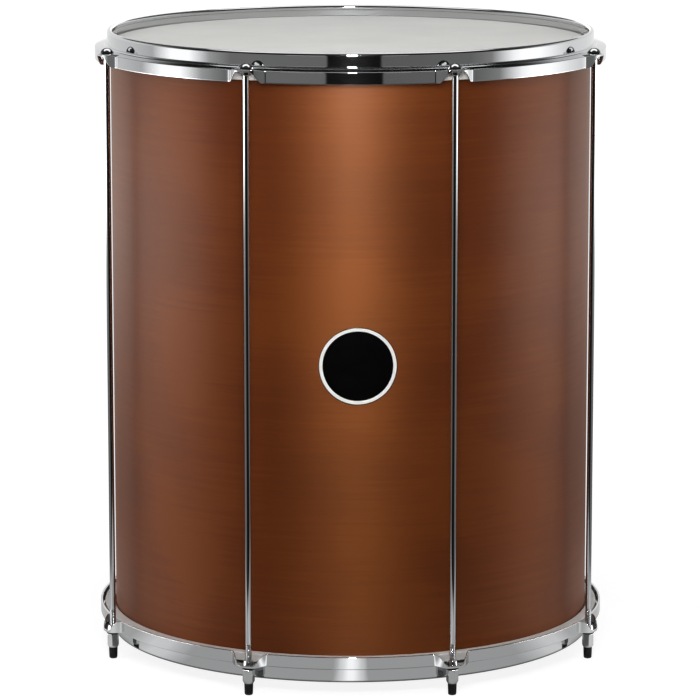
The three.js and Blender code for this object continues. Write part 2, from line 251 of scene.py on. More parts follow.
def stainedVeneer():
    # Long grain and wide clouds mixed into one stain, with short pale flecks over it
    material, tree, place = newMaterial("satinStainedBirchVeneer")
    cloud = addNode(tree, "TexNoise", {"Scale": perMetre(wood["cloud"]), "Detail": 1, "Roughness": 0.4},
                    {"Vector": place})
    stretch = wood["grainLength"] / wood["grainHeight"]
    grainPlace = addNode(tree, "Mapping", {"Scale": (1, 1, stretch)}, {"Vector": place})
    grain = addNode(tree, "TexNoise",
                    {"Scale": perMetre(wood["grainLength"]), "Detail": 5, "Roughness": 0.65},
                    {"Vector": grainPlace.outputs["Vector"]})
    fleckStretch = wood["fleckLength"] / wood["fleckHeight"]
    fleckPlace = addNode(tree, "Mapping", {"Scale": (1, 1, fleckStretch)}, {"Vector": place})
    fleck = addNode(tree, "TexNoise",
                    {"Scale": perMetre(wood["fleckLength"]), "Detail": 1, "Roughness": 0.5},
                    {"Vector": fleckPlace.outputs["Vector"]})
    mixed = addNode(tree, "Math", {"operation": "MULTIPLY_ADD", 1: wood["grainShare"]},
                    {0: grain.outputs["Fac"], 2: cloud.outputs["Fac"]})
    darkAt, middleAt, lightAt = wood["stainAt"]
    stops = [(darkAt, wood["dark"]), (lightAt, wood["light"]), (middleAt, wood["middle"])]
    stain = addNode(tree, "ValToRGB", {"stops": stops}, {"Fac": mixed.outputs["Value"]})
    fleckAmount = addNode(tree, "MapRange", {"From Min": wood["fleckFrom"], "From Max": wood["fleckTo"],
                                             "To Max": wood["fleckMost"]}, {"Value": fleck.outputs["Fac"]})
    colour = addNode(tree, "Mix", {"data_type": "RGBA", 7: linear(wood["fleck"])},
                     {0: fleckAmount.outputs["Result"], 6: stain.outputs["Color"]})
    bump = addNode(tree, "Bump", {"Strength": wood["grainBump"], "Distance": wood["grainDepth"] * mm},
                   {"Height": grain.outputs["Fac"]})
    shader = addNode(tree, "BsdfPrincipled", {
        "Metallic": wood["sheenMetal"],
        "Roughness": wood["roughness"],
        "IOR": wood["ior"],
        "Specular IOR Level": wood["sheenLevel"],
        "Specular Tint": linear(wood["sheen"]),
        "Anisotropic": wood["drawnOut"],
        "Anisotropic Rotation": wood["drawnTurn"],
        "Coat Weight": wood["lacquer"],
        "Coat Roughness": wood["lacquerRoughness"],
        "Coat IOR": wood["ior"],
    }, {"Base Color": colour.outputs[2], "Normal": bump.outputs["Normal"]})
    addNode(tree, "OutputMaterial", links={"Surface": shader.outputs["BSDF"]})
    return material


# Steel pressed to shape, polished and chrome plated: a hard mirror, a little cooler than white, with the
# faint long waves that pressing leaves and a haze of fine wiping marks
chromeFinish = {"colour": "#c8c9ca", "roughness": (0.035, 0.065), "wiped": 30, "wave": 18,
                "waveHeight": 0.004, "waveBump": 0.5}


def chromePlate():
    material, tree, place = newMaterial("polishedChromePlate")
    haze = addNode(tree, "TexNoise",
                   {"Scale": perMetre(chromeFinish["wiped"]), "Detail": 3, "Roughness": 0.6},
                   {"Vector": place})
    bright, dull = chromeFinish["roughness"]
    rough = addNode(tree, "MapRange", {"To Min": bright, "To Max": dull}, {"Value": haze.outputs["Fac"]})
    wave = addNode(tree, "TexNoise", {"Scale": perMetre(chromeFinish["wave"]), "Detail": 0},
                   {"Vector": place})
    bump = addNode(tree, "Bump", {"Strength": chromeFinish["waveBump"],
                                  "Distance": chromeFinish["waveHeight"] * mm},
                   {"Height": wave.outputs["Fac"]})
    shader = addNode(tree, "BsdfPrincipled",
                     {"Base Color": linear(chromeFinish["colour"]), "Metallic": 1},
                     {"Roughness": rough.outputs["Result"], "Normal": bump.outputs["Normal"]})
    addNode(tree, "OutputMaterial", links={"Surface": shader.outputs["BSDF"]})
    return material


# Aluminium extrusion, rolled into a ring and left bare, so that a thin dull oxide covers it: a soft grey
# sheen with fine lines along the ring
aluminiumFinish = {"colour": "#d0cdca", "bareMetal": 0.25, "roughness": (0.5, 0.62),
                   "lineLength": 24, "lineHeight": 0.4, "lineDepth": 0.02, "lineBump": 0.4}


def rolledAluminium():
    material, tree, place = newMaterial("rolledBareAluminium")
    stretch = aluminiumFinish["lineLength"] / aluminiumFinish["lineHeight"]
    linePlace = addNode(tree, "Mapping", {"Scale": (1, 1, stretch)}, {"Vector": place})
    lines = addNode(tree, "TexNoise", {"Scale": perMetre(aluminiumFinish["lineLength"]), "Detail": 3},
                    {"Vector": linePlace.outputs["Vector"]})
    bright, dull = aluminiumFinish["roughness"]
    rough = addNode(tree, "MapRange", {"To Min": bright, "To Max": dull}, {"Value": lines.outputs["Fac"]})
    bump = addNode(tree, "Bump", {"Strength": aluminiumFinish["lineBump"],
                                  "Distance": aluminiumFinish["lineDepth"] * mm},
                   {"Height": lines.outputs["Fac"]})
    shader = addNode(tree, "BsdfPrincipled",
                     {"Base Color": linear(aluminiumFinish["colour"]),
                      "Metallic": aluminiumFinish["bareMetal"]},
                     {"Roughness": rough.outputs["Result"], "Normal": bump.outputs["Normal"]})
    addNode(tree, "OutputMaterial", links={"Surface": shader.outputs["BSDF"]})
    return material


# Polyester film, milky all through, drawn to shape while hot: an even pale grey with a low gloss and very
# faint clouds where the film is a touch thicker. The matt side's grit is drawn coarser than it is.
filmFinish = {"thick": "#cfcfcc", "thin": "#d6d6d3", "cloud": 90, "cloudFrom": 0.35, "cloudTo": 0.65,
              "grit": 1.5, "gritDepth": 0.02, "gritBump": 0.15, "roughness": 0.6, "gloss": 0.12,
              "ior": 1.57}


def milkyFilm():
    material, tree, place = newMaterial("milkyPolyesterFilm")
    cloud = addNode(tree, "TexNoise",
                    {"Scale": perMetre(filmFinish["cloud"]), "Detail": 3, "Roughness": 0.5},
                    {"Vector": place})
    stops = [(filmFinish["cloudFrom"], filmFinish["thick"]), (filmFinish["cloudTo"], filmFinish["thin"])]
    colour = addNode(tree, "ValToRGB", {"stops": stops}, {"Fac": cloud.outputs["Fac"]})
    grit = addNode(tree, "TexNoise", {"Scale": perMetre(filmFinish["grit"]), "Detail": 2},
                   {"Vector": place})
    bump = addNode(tree, "Bump", {"Strength": filmFinish["gritBump"],
                                  "Distance": filmFinish["gritDepth"] * mm},
                   {"Height": grit.outputs["Fac"]})
    shader = addNode(tree, "BsdfPrincipled",
                     {"Roughness": filmFinish["roughness"], "IOR": filmFinish["ior"],
                      "Specular IOR Level": filmFinish["gloss"]},
                     {"Base Color": colour.outputs["Color"], "Normal": bump.outputs["Normal"]})
    addNode(tree, "OutputMaterial", links={"Surface": shader.outputs["BSDF"]})
    return material


# Moulded plastics and rubber: near black and dull, with the mould's fine grain, drawn coarser than it is
nylonFinish = {"colour": "#080808", "roughness": (0.38, 0.52), "grain": 0.8, "ior": 1.53}
rubberFinish = {"colour": "#060606", "roughness": (0.53, 0.67), "grain": 0.6, "ior": 1.52}
mouldGrain = {"depth": 0.04, "bump": 0.3, "gloss": 0.2}


def mouldedBlack(name, finish):
    material, tree, place = newMaterial(name)
    speck = addNode(tree, "TexNoise", {"Scale": perMetre(finish["grain"]), "Detail": 2}, {"Vector": place})
    bright, dull = finish["roughness"]
    rough = addNode(tree, "MapRange", {"To Min": bright, "To Max": dull}, {"Value": speck.outputs["Fac"]})
    bump = addNode(tree, "Bump", {"Strength": mouldGrain["bump"], "Distance": mouldGrain["depth"] * mm},
                   {"Height": speck.outputs["Fac"]})
    shader = addNode(tree, "BsdfPrincipled",
                     {"Base Color": linear(finish["colour"]), "IOR": finish["ior"],
                      "Specular IOR Level": mouldGrain["gloss"]},
                     {"Roughness": rough.outputs["Result"], "Normal": bump.outputs["Normal"]})
    addNode(tree, "OutputMaterial", links={"Surface": shader.outputs["BSDF"]})
    return material


# Enamel stoved on a pressed metal disc: glossy, and a little softer in patches where it has been wiped
enamelFinish = {"black": "#030304", "white": "#f4f3f0", "roughness": (0.12, 0.18), "wiped": 12,
                "gloss": 0.35, "ior": 1.5}


def stovedEnamel(name, colour):
    material, tree, place = newMaterial(name)
    haze = addNode(tree, "TexNoise", {"Scale": perMetre(enamelFinish["wiped"]), "Detail": 2},
                   {"Vector": place})
    bright, dull = enamelFinish["roughness"]
    rough = addNode(tree, "MapRange", {"To Min": bright, "To Max": dull}, {"Value": haze.outputs["Fac"]})
    shader = addNode(tree, "BsdfPrincipled",
                     {"Base Color": linear(colour), "IOR": enamelFinish["ior"],
                      "Specular IOR Level": enamelFinish["gloss"]},
                     {"Roughness": rough.outputs["Result"]})
    addNode(tree, "OutputMaterial", links={"Surface": shader.outputs["BSDF"]})
    return material


veneer = stainedVeneer()
chrome = chromePlate()
aluminium = rolledAluminium()
film = milkyFilm()
nylon = mouldedBlack("mouldedBlackNylon", nylonFinish)
rubber = mouldedBlack("mouldedBlackRubber", rubberFinish)
blackEnamel = stovedEnamel("stovedBlackEnamel", enamelFinish["black"])
whiteEnamel = stovedEnamel("stovedWhiteEnamel", enamelFinish["white"])
print("materials made")


# The shell: plies bent into a tube, with a bearing edge cut at each end

shell = {"wall": 7.5, "outerDrop": 2.0, "innerDrop": 5.0, "shoulderRound": 1.2, "crestRound": 0.8,
         "steps": 256}


def makeShell():
    # Outline of the wall, with the bearing edge cut to a crest at each end, turned about Z
    outer, bore = drum["shellRadius"], drum["shellRadius"] - shell["wall"]
    crest = outer - drum["crestInset"]
    low, high = drum["shellFoot"], drum["shellTop"]
    shoulderRound, crestRound = shell["shoulderRound"], shell["crestRound"]
    corners = [
        (outer, low + shell["outerDrop"]),
        (outer, high - shell["outerDrop"]),
        (crest, high),
        (bore, high - shell["innerDrop"]),
        (bore, low + shell["innerDrop"]),
        (crest, low),
    ]
    outline = roundedOutline(corners, [shoulderRound] * 2 + [crestRound] * 4)
    piece = putMesh("woodenShell", *turnedSurface(outline, shell["steps"]))
    finishPiece(piece, [veneer], "drum", "stained_wood", "shell")


makeShell()
print("shell made")


# The heads, and the flesh hoops that hold them. A head's flat middle ends at flatStart inside the crest.

head = {"lipReach": 3.0, "bend": 1.6, "lipBend": 0.5, "lipEdge": 0.1, "lipRoot": 0.2, "flatStart": 20,
        "flatRings": 12, "steps": 256}
flesh = {"width": 9.9, "height": 10.0, "slope": 0.2308, "grooveGap": 0.3,
         "rounds": [2.0, 1.0, 1.2, 0.6, 0.2, 0.1, 0.1, 0.2], "steps": 192}


def makeHead(name, node, top):
    # Flat film over the crest, drawn down outside the shell and turned out into a lip: its outline has one
    # face a film's thickness from the other, turned about Z
    thick = drum["filmThickness"]
    crest = drum["shellRadius"] - drum["crestInset"]
    skirt, lip = drum["skirtInner"], drum["lipMiddle"]
    lipEnd = drum["fleshInner"] + head["lipReach"]
    under = drum["seatGap"]
    outerDrop = -shell["outerDrop"]
    flatEnd = crest - head["flatStart"]
    corners = [
        (crest, under),
        (skirt, outerDrop),
        (skirt, lip - thick / 2),
        (lipEnd, lip - thick / 2),
        (lipEnd, lip + thick / 2),
        (skirt + thick, lip + thick / 2),
        (skirt + thick, outerDrop),
        (crest, under + thick),
        (flatEnd, under + thick),
        (flatEnd, under),
    ]
    bend, lipEdge = head["bend"], head["lipEdge"]
    rounds = [bend, bend, head["lipBend"], lipEdge, lipEdge, head["lipRoot"], bend, bend, 0, 0]
    outline = roundedOutline(corners, rounds)
    middle = np.linspace(0, flatEnd, head["flatRings"])[:, None]
    flatUnder = np.concatenate([middle, np.full_like(middle, under)], -1)
    flatTop = np.concatenate([middle[::-1], np.full_like(middle, under + thick)], -1)
    rounded = outline[:cornerPoints() * (len(corners) - 2)]
    profile = np.concatenate([flatUnder[:-1], rounded, flatTop[1:]])
    points, quads, fans = turnedSurface(profile, head["steps"])
    piece = putMesh(name, atEnd(points, top), quads, fans)
    finishPiece(piece, [film], "drum", "head_film", node)


def makeFleshHoop(name, node, top):
    # A rectangular ring with a sloping top and a groove that grips the film's lip, turned about Z
    inner = drum["fleshInner"]
    outer = inner + flesh["width"]
    topInside = drum["fleshTop"]
    topOutside = topInside - flesh["width"] * flesh["slope"]
    low = topInside - flesh["height"]
    half = drum["filmThickness"] / 2 + flesh["grooveGap"]
    groove = inner + head["lipReach"] + flesh["grooveGap"]
    lip = drum["lipMiddle"]
    corners = [
        (inner, low), (outer, low), (outer, topOutside), (inner, topInside),
        (inner, lip + half), (groove, lip + half), (groove, lip - half), (inner, lip - half),
    ]
    outline = roundedOutline(corners, flesh["rounds"])
    points, quads, fans = turnedSurface(outline, flesh["steps"])
    piece = putMesh(name, atEnd(points, top), quads, fans)
    finishPiece(piece, [aluminium], "drum", "flesh_aluminium", node)


makeHead("batterFilm", "batter_head", True)
makeHead("resonantFilm", "resonant_head", False)
makeFleshHoop("batterFleshRing", "batter_flesh_hoop", True)
makeFleshHoop("resonantFleshRing", "resonant_flesh_hoop", False)
print("heads and flesh hoops made")


# The pressed hoops

# Sizes of the section, of the ears drawn out of it and of the grid that carries both. Heights are from the
# crest, as in drum, and an ear's sizes along the rod circle are from its middle. Rounds go with the
# section's corners, in the order in which hoopGrid names them.
hoop = {
    "wall": 1.9, "bead": 5.0, "rimTop": 11.65,
    "collarInner": 230.0, "collarOuter": 231.9, "collarFoot": -1.0, "collarUnder": 0.55,
    "ledgeEdge": (234.4, -1.3), "ledgeFoot": (234.9, -2.35),
    "bandOuter": 243.6, "bandTop": -4.25, "bandFoot": -15.35,
    "shelfStart": 238.55, "shelfSlopeTop": -3.085,
    "rounds": [0.45, 0.5, 4.0, 0.25, 0.25, 0.3, 2.5, 2.5, 2.2, 0.5, 1.5, 3.0, 0.4, 0.45],
    "earHalf": 17.5, "flatHalf": 7.0, "edgeHigh": 6.5, "edgeLow": 16.0, "earReach": 24.0,
    "noseReach": 8.2, "bulgePower": 2.5, "crease": 0.12, "lipDrop": 2.2,
    "arcSteps": 6, "earCells": 48, "plainCells": 14, "block": 12, "sharpAngle": 40,
}
# The conical cup round a rod's head, and the short sleeve that it leaves under the ear
cup = {"mouth": 5.0, "mouthRim": 0.55, "neck": 3.9, "end": 4.6, "root": 5.6, "rootRim": 0.2, "depth": 3.8,
       "rounds": [0, 0.5, 0.6, 0.3, 0.6, 0.3, 0]}


def smoothStep(share):
    # An S curve from 0 to 1: s^2 (3 - 2s)
    return share ** 2 * (3 - 2 * share)


def earShares(offset):
    # How far the band is drawn out at an offset along the rod circle from an ear's middle, how level the
    # shelf is there, and how far the band's lower edge has risen to the lip, each from 0 to 1. In plan the
    # band bulges by d = 1 - (offset / half width)^power, and (d + sqrt(d^2 + c^2)) / 2, a smooth maximum,
    # rounds the crease at its foot. The shelf comes level and the lower edge rises on S curves.
    offset = np.abs(offset)
    half = hoop["earHalf"]
    drawn = 1 - (offset / half) ** hoop["bulgePower"]
    drawn = np.clip((drawn + np.sqrt(drawn ** 2 + hoop["crease"] ** 2)) / 2, 0, 1)
    drawn = drawn * np.clip((hoop["earReach"] - offset) / (hoop["earReach"] - half), 0, 1)
    level = np.clip((half + 1 - offset) / (half + 1 - hoop["flatHalf"]), 0, 1)
    raised = np.clip((hoop["edgeLow"] - offset) / (hoop["edgeLow"] - hoop["edgeHigh"]), 0, 1)
    return drawn, smoothStep(level), smoothStep(raised)


def hoopStations():
    # Angles at which the hoop's section is set out, close together on the ears and wider between them, with
    # the offset of each from the nearest ear's middle
    reach, circle = hoop["earReach"], drum["rodCircle"]
    ear = np.linspace(-reach, reach, hoop["earCells"] + 1)
    pitch = 2 * math.pi * circle / rodCount
    plain = np.linspace(reach, pitch - reach, hoop["plainCells"] + 1)[1:-1]
    offsets = np.concatenate([ear, plain])
    angle = rodAngles[:, None] + offsets[None, :] / circle
    nearest = np.where(offsets > pitch / 2, offsets - pitch, offsets)
    return angle.ravel(), np.tile(nearest, rodCount)


def hoopGrid():
    # The hoop's closed section at every station: rolled rim, collar, ledge, shoulder and band, with the
    # band and the shelf moved out by the ear's shares. Two straight runs, on the shelf and under it, are
    # divided finely, and the rows at which they start are given too.
    angle, offset = hoopStations()
    drawn, level, raised = earShares(offset)
    wall, shelf = hoop["wall"], drum["shelfTop"]
    bandRadius = hoop["bandOuter"] + (drum["rodCircle"] + hoop["noseReach"] - hoop["bandOuter"]) * drawn
    bandCorner = hoop["bandTop"] + (shelf - hoop["bandTop"]) * level
    bandEdge = hoop["bandFoot"] + (shelf - hoop["lipDrop"] - hoop["bandFoot"]) * raised
    bandEdge = np.minimum(bandEdge, bandCorner - hoop["lipDrop"])
    shelfCorner = hoop["shelfSlopeTop"] + (shelf - hoop["shelfSlopeTop"]) * level
    outer, inner, rim, low = hoop["collarOuter"], hoop["collarInner"], hoop["rimTop"], hoop["collarFoot"]
    bead, start = hoop["bead"], hoop["shelfStart"]
    corners = [
        (bandRadius, bandEdge),
        (bandRadius, bandCorner),
        (start, shelfCorner),
        hoop["ledgeFoot"],
        hoop["ledgeEdge"],
        (outer, low),
        (outer, rim),
        (outer - bead, rim),
        (outer - bead, rim - bead),
        (inner, rim - bead),
        (inner, low - hoop["collarUnder"] - wall),
        (start, shelfCorner - wall),
        (bandRadius - wall, bandCorner - wall),
        (bandRadius - wall, bandEdge),
    ]
    outline = [np.stack(np.broadcast_arrays(radius, height, angle)[:2], -1) for radius, height in corners]
    steps, block = hoop["arcSteps"], hoop["block"]
    section = roundedOutline(np.stack(outline, 1), hoop["rounds"], steps)
    share = np.linspace(0, 1, block + 1)[1:-1, None]
    shelfAt, underAt = 2, 12  # the corners, counted from 0, at which the two divided runs end
    shelfBegin, underBegin = shelfAt * cornerPoints(steps), underAt * cornerPoints(steps)
    shelfEnd, underEnd = shelfBegin - 1, underBegin - 1
    onShelf = section[:, None, shelfEnd] * (1 - share) + section[:, None, shelfBegin] * share
    underShelf = section[:, None, underEnd] * (1 - share) + section[:, None, underBegin] * share
    first, rest, last = np.split(section, [shelfBegin, underBegin], 1)
    section = np.concatenate([first, onShelf, rest, underShelf, last], 1)
    radius, height = section[..., 0], section[..., 1]
    points = np.stack([radius * np.sin(angle)[:, None], -radius * np.cos(angle)[:, None], height], -1)
    return points, shelfEnd, underEnd + block - 1


def cupRings():
    # Section of the conical cup and the rod hole, (radius, height) from the shelf's face to its underside
    shelf, under = drum["shelfTop"], drum["shelfTop"] - hoop["wall"]
    hole, end = drum["rodHole"], under - cup["depth"]
    corners = [
        (cup["mouth"] + cup["mouthRim"], shelf), (cup["mouth"], shelf), (hole, shelf - cup["neck"]),
        (hole, end), (cup["end"], end), (cup["root"], under), (cup["root"] + cup["rootRim"], under),
    ]
    return roundedOutline(corners, cup["rounds"])[cornerPoints():-cornerPoints()]


def makeHoop(name, node, body, top):
    # The section carried round the stations and closed. At every ear a square of the shelf and the one
    # under it are left out, and a tube of rings joins their two edges: down the cup's cone, through the hole
    # and back up. Each ring starts at the square's first corner and runs round as the square's edge does.
    points, shelfRow, underRow = hoopGrid()
    stations, along = points.shape[:2]
    block = hoop["block"]
    perEar = stations // rodCount
    firstStation = (hoop["earCells"] - block) // 2 + perEar * np.arange(rodCount)
    quads = gridQuads(stations, along)
    station, row = np.divmod(np.arange(stations * along), along)
    inEar = (station % perEar >= firstStation[0]) & (station % perEar < firstStation[0] + block)
    onShelf = (row >= shelfRow) & (row < shelfRow + block)
    underShelf = (row >= underRow) & (row < underRow + block)
    quads = quads[~(inEar & (onShelf | underShelf))]

    side = np.arange(block)
    edge = np.full(block, block)
    none = np.zeros(block, int)
    acrossLoop = np.concatenate([side, edge, edge - side, none])
    upLoop = np.concatenate([none, side, edge, edge - side])
    grid = firstStation[:, None] + acrossLoop
    topLoop = grid * along + shelfRow + upLoop
    underLoop = grid * along + underRow + block - upLoop

    rings = cupRings()
    columns = 4 * block
    firstCorner = math.radians(135)
    turn = firstCorner - 2 * math.pi * np.arange(columns) / columns
    across = rings[:, 0, None] * np.cos(turn)
    out = drum["rodCircle"] + rings[:, 0, None] * np.sin(turn)
    sine, cosine = np.sin(rodAngles)[:, None, None], np.cos(rodAngles)[:, None, None]
    height = np.broadcast_to(rings[None, :, 1, None], (rodCount, len(rings), columns))
    tube = np.stack([across * cosine + out * sine, across * sine - out * cosine, height], -1)
    tubeIndex = stations * along + np.arange(tube[..., 0].size).reshape(height.shape)
    loops = np.concatenate([topLoop[:, None], tubeIndex, underLoop[:, None]], 1)
    following = np.roll(loops, -1, axis=2)
    tubeQuads = np.stack([loops[:, :-1], following[:, :-1], following[:, 1:], loops[:, 1:]], -1)

    allPoints = np.concatenate([points.reshape(-1, 3), tube.reshape(-1, 3)])
    allQuads = np.concatenate([quads, tubeQuads.reshape(-1, 4)])
    piece = putMesh(name, atEnd(allPoints, top), allQuads, sharpAngle=hoop["sharpAngle"])
    finishPiece(piece, [chrome], body, "chrome", node)


makeHoop("topHoop", "top_hoop", "upper_hoop", True)
makeHoop("bottomHoop", "bottom_hoop", "drum", False)
print("hoops made")


# Rods, nuts, washers and feet

rod = {
    "head": 13.7, "headHeight": 4.8, "headEdge": 0.25, "domeStart": 0.02, "domeRings": 9,
    "neck": 9.4, "neckHeight": 3.9, "neckFoot": 0.4, "neckStep": 0.1,
    "shank": 5.5, "end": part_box("tension_rod_1")[0].z / mm,
    "thread": 6.0, "threadDepth": 0.61, "threadLength": 34.0, "pitch": 1.0,
    "waveStretch": 1.25, "waveDrop": 0.1, "runout": 1.2, "runoutDepth": 0.25, "endChamfer": 0.6,
    "rowsPerTurn": 8, "steps": 32, "sharpAngle": 50,
}


def makeRod(number, angle):
    # A shank of circular section with a domed head on a conical neck. Along the thread the radius is the
    # outer radius less the thread's depth times a triangle wave of (height / pitch - angle / one turn), cut
    # flat at its crest and root. The wave fades out toward both ends, and a chamfer narrows the lower one.
    top = drum["shellTop"] + drum["shelfTop"] + drum["seatGap"]
    end, threadLength, outer = rod["end"], rod["threadLength"], rod["thread"] / 2
    headRadius, dome, shank = rod["head"] / 2, rod["headHeight"], rod["shank"] / 2
    sphere = (headRadius ** 2 + dome ** 2) / (2 * dome)
    lowest = math.asin((sphere - dome) / sphere) + rod["domeStart"]
    upward = np.linspace(lowest, math.pi / 2, rod["domeRings"])[:, None]
    centre = top + dome - sphere
    domePoints = np.concatenate([sphere * np.cos(upward), centre + sphere * np.sin(upward)], -1)
    domePoints[-1, 0] = 0
    threadRows = int(threadLength / rod["pitch"] * rod["rowsPerTurn"])
    threadZ = np.linspace(end, end + threadLength, threadRows + 1)[:, None]
    threadPoints = np.concatenate([np.full_like(threadZ, outer), threadZ], -1)
    upper = np.array([
        (shank, end + threadLength + rod["runout"] / 2),
        (shank, top - rod["neckHeight"] - rod["neckFoot"]),
        (shank + rod["neckStep"], top - rod["neckHeight"]),
        (rod["neck"] / 2, top),
        (headRadius - rod["headEdge"], top),
    ])
    profile = np.concatenate([[(0, end)], threadPoints, upper, domePoints])
    points, quads, fans = turnedSurface(profile, rod["steps"])
    body = points[:-2].reshape(rod["steps"], len(profile) - 2, 3)
    turn = np.arange(rod["steps"])[:, None] / rod["steps"]
    height = body[:, :threadRows + 1, 2]
    wave = np.abs(((height / rod["pitch"] - turn) % 1) * 2 - 1)
    depth = rod["threadDepth"] * np.clip(wave * rod["waveStretch"] - rod["waveDrop"], 0, 1)
    fromEnds = np.minimum(height - end, end + threadLength - height)
    chamfer = np.clip(rod["endChamfer"] - (height - end), 0, 1)
    full = np.clip(fromEnds / rod["runout"], 0, 1)
    radius = np.minimum(outer - depth * full - rod["runoutDepth"] * (1 - full), outer - chamfer)
    body[:, :threadRows + 1, :2] *= (radius / outer)[..., None]
    points[:-2] = body.reshape(-1, 3)
    piece = putMesh(f"tensionRod{number}", onRod(points, angle), quads, fans, sharpAngle=rod["sharpAngle"])
    finishPiece(piece, [chrome], "upper_hoop", "chrome", f"tension_rod_{number}")


nut = {
    "low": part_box("tension_nut_1")[0].z / mm, "high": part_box("tension_nut_1")[1].z / mm,
    "acrossFlats": 10.0, "bore": 3.3, "boreFoot": 0.5, "boreTop": 0.4,
    "topInset": 1.15, "topChamfer": 0.75, "taper": 2.6, "taperInset": 1.55, "taperSwell": 0.42,
    "edgeRound": 0.22, "perSide": 10, "sharpAngle": 24,
}


def makeNut(number, angle):
    # A hexagon whose distance from the axis is half its width across flats over the cosine of the angle
    # from the nearest flat. Above and below, cones cut it at a height that follows from that distance.
    steps = 6 * nut["perSide"]
    turn = 2 * math.pi * np.arange(steps) / steps
    flat = nut["acrossFlats"] / 2
    corner = flat / math.cos(math.pi / 6)
    side = flat / np.cos((turn % (math.pi / 3)) - math.pi / 6)
    low, high, bore = nut["low"], nut["high"], nut["bore"]
    topFace, footFace = corner - nut["topInset"], corner - nut["taperInset"]
    topDrop = nut["topChamfer"] * (side - topFace) / (corner - topFace)
    footRise = nut["taper"] * (side - footFace) / (corner - footFace)
    rings = [
        (bore, low + nut["boreFoot"]),
        (bore + nut["boreFoot"], low),
        (footFace, low),
        ((side + footFace) / 2, low + footRise * nut["taperSwell"]),
        (side, low + footRise),
        (side, high - topDrop),
        (topFace, high),
        (bore + nut["boreTop"], high),
        (bore, high - nut["boreTop"]),
    ]
    grid = [np.stack(np.broadcast_arrays(r * np.sin(turn), -r * np.cos(turn), z), -1) for r, z in rings]
    points = onRod(np.stack(grid, 1).reshape(-1, 3), angle)
    quads = gridQuads(steps, len(rings))
    piece = putMesh(f"sleeveNut{number}", points, quads, sharpAngle=nut["sharpAngle"])
    bevel = piece.modifiers.new("rolledEdges", "BEVEL")
    bevel.width = nut["edgeRound"] * mm
    bevel.segments = 2
    bevel.limit_method = "ANGLE"
    bevel.angle_limit = math.radians(nut["sharpAngle"])
    finishPiece(piece, [chrome], f"nut_{number}", "chrome", f"tension_nut_{number}")


washer = {"low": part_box("nut_washer_1")[0].z / mm, "high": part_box("nut_washer_1")[1].z / mm,
          "diameter": 12.0, "hole": 3.3, "round": 0.45, "steps": 48}


def makeWasher(number, angle):
    # A flat ring with rounded edges, turned about its rod's axis
    outer, hole = washer["diameter"] / 2, washer["hole"]
    low, high = washer["low"], washer["high"]
    corners = [(hole, low), (outer, low), (outer, high), (hole, high)]
    outline = roundedOutline(corners, [washer["round"]] * 4)
    points, quads, fans = turnedSurface(outline, washer["steps"])
    piece = putMesh(f"nylonWasher{number}", onRod(points, angle), quads, fans)
    finishPiece(piece, [nylon], "drum", "black_nylon", f"nut_washer_{number}")


foot = {"diameter": 8.4, "length": 10.7, "tipInset": 0.35, "stem": 3.0, "stemLength": 3.3,
        "rounds": [0, 1.6, 0.35, 0.15, 0.3, 0], "arcSteps": 5, "steps": 40}


def makeFoot(number, angle):
    # A plug with a rounded tip and a stem that is pushed into the nut, turned about its rod's axis. The
    # outline's first and last corners lie past the axis, only to give the ends their direction.
    outer, stem = foot["diameter"] / 2, foot["stem"]
    top = foot["length"]
    stemTop = top + foot["stemLength"]
    corners = [(-1, 0), (outer - foot["tipInset"], 0), (outer, top), (stem, top), (stem, stemTop),
               (-1, stemTop)]
    steps = foot["arcSteps"]
    outline = roundedOutline(corners, foot["rounds"], steps)[cornerPoints(steps):-cornerPoints(steps)]
    profile = np.concatenate([[(0, 0)], outline, [(0, stemTop)]])
    points, quads, fans = turnedSurface(profile, foot["steps"])
    piece = putMesh(f"rubberFoot{number}", onRod(points, angle), quads, fans)
    finishPiece(piece, [rubber], f"nut_{number}", "black_rubber", f"rubber_foot_{number}")


for number, angle in enumerate(rodAngles, start=1):
    makeRod(number, angle)
    makeNut(number, angle)
    makeWasher(number, angle)
    makeFoot(number, angle)
print("rods, nuts, washers and feet made")


# The badge

badge = {
    "diameter": 71.6, "thickness": 0.9, "rimWidth": 3.5, "edgeWidth": 0.6, "rimRise": 0.4,
    "aboveMiddle": 5.5, "turn": math.radians(1.7),
    "fieldInset": 0.6, "fieldStart": 2, "rounds": [0, 0.25, 0.25, 0, 0.3, 0.2, 0],
    "rings": 10, "steps": 128, "faceMargin": 0.02,
}


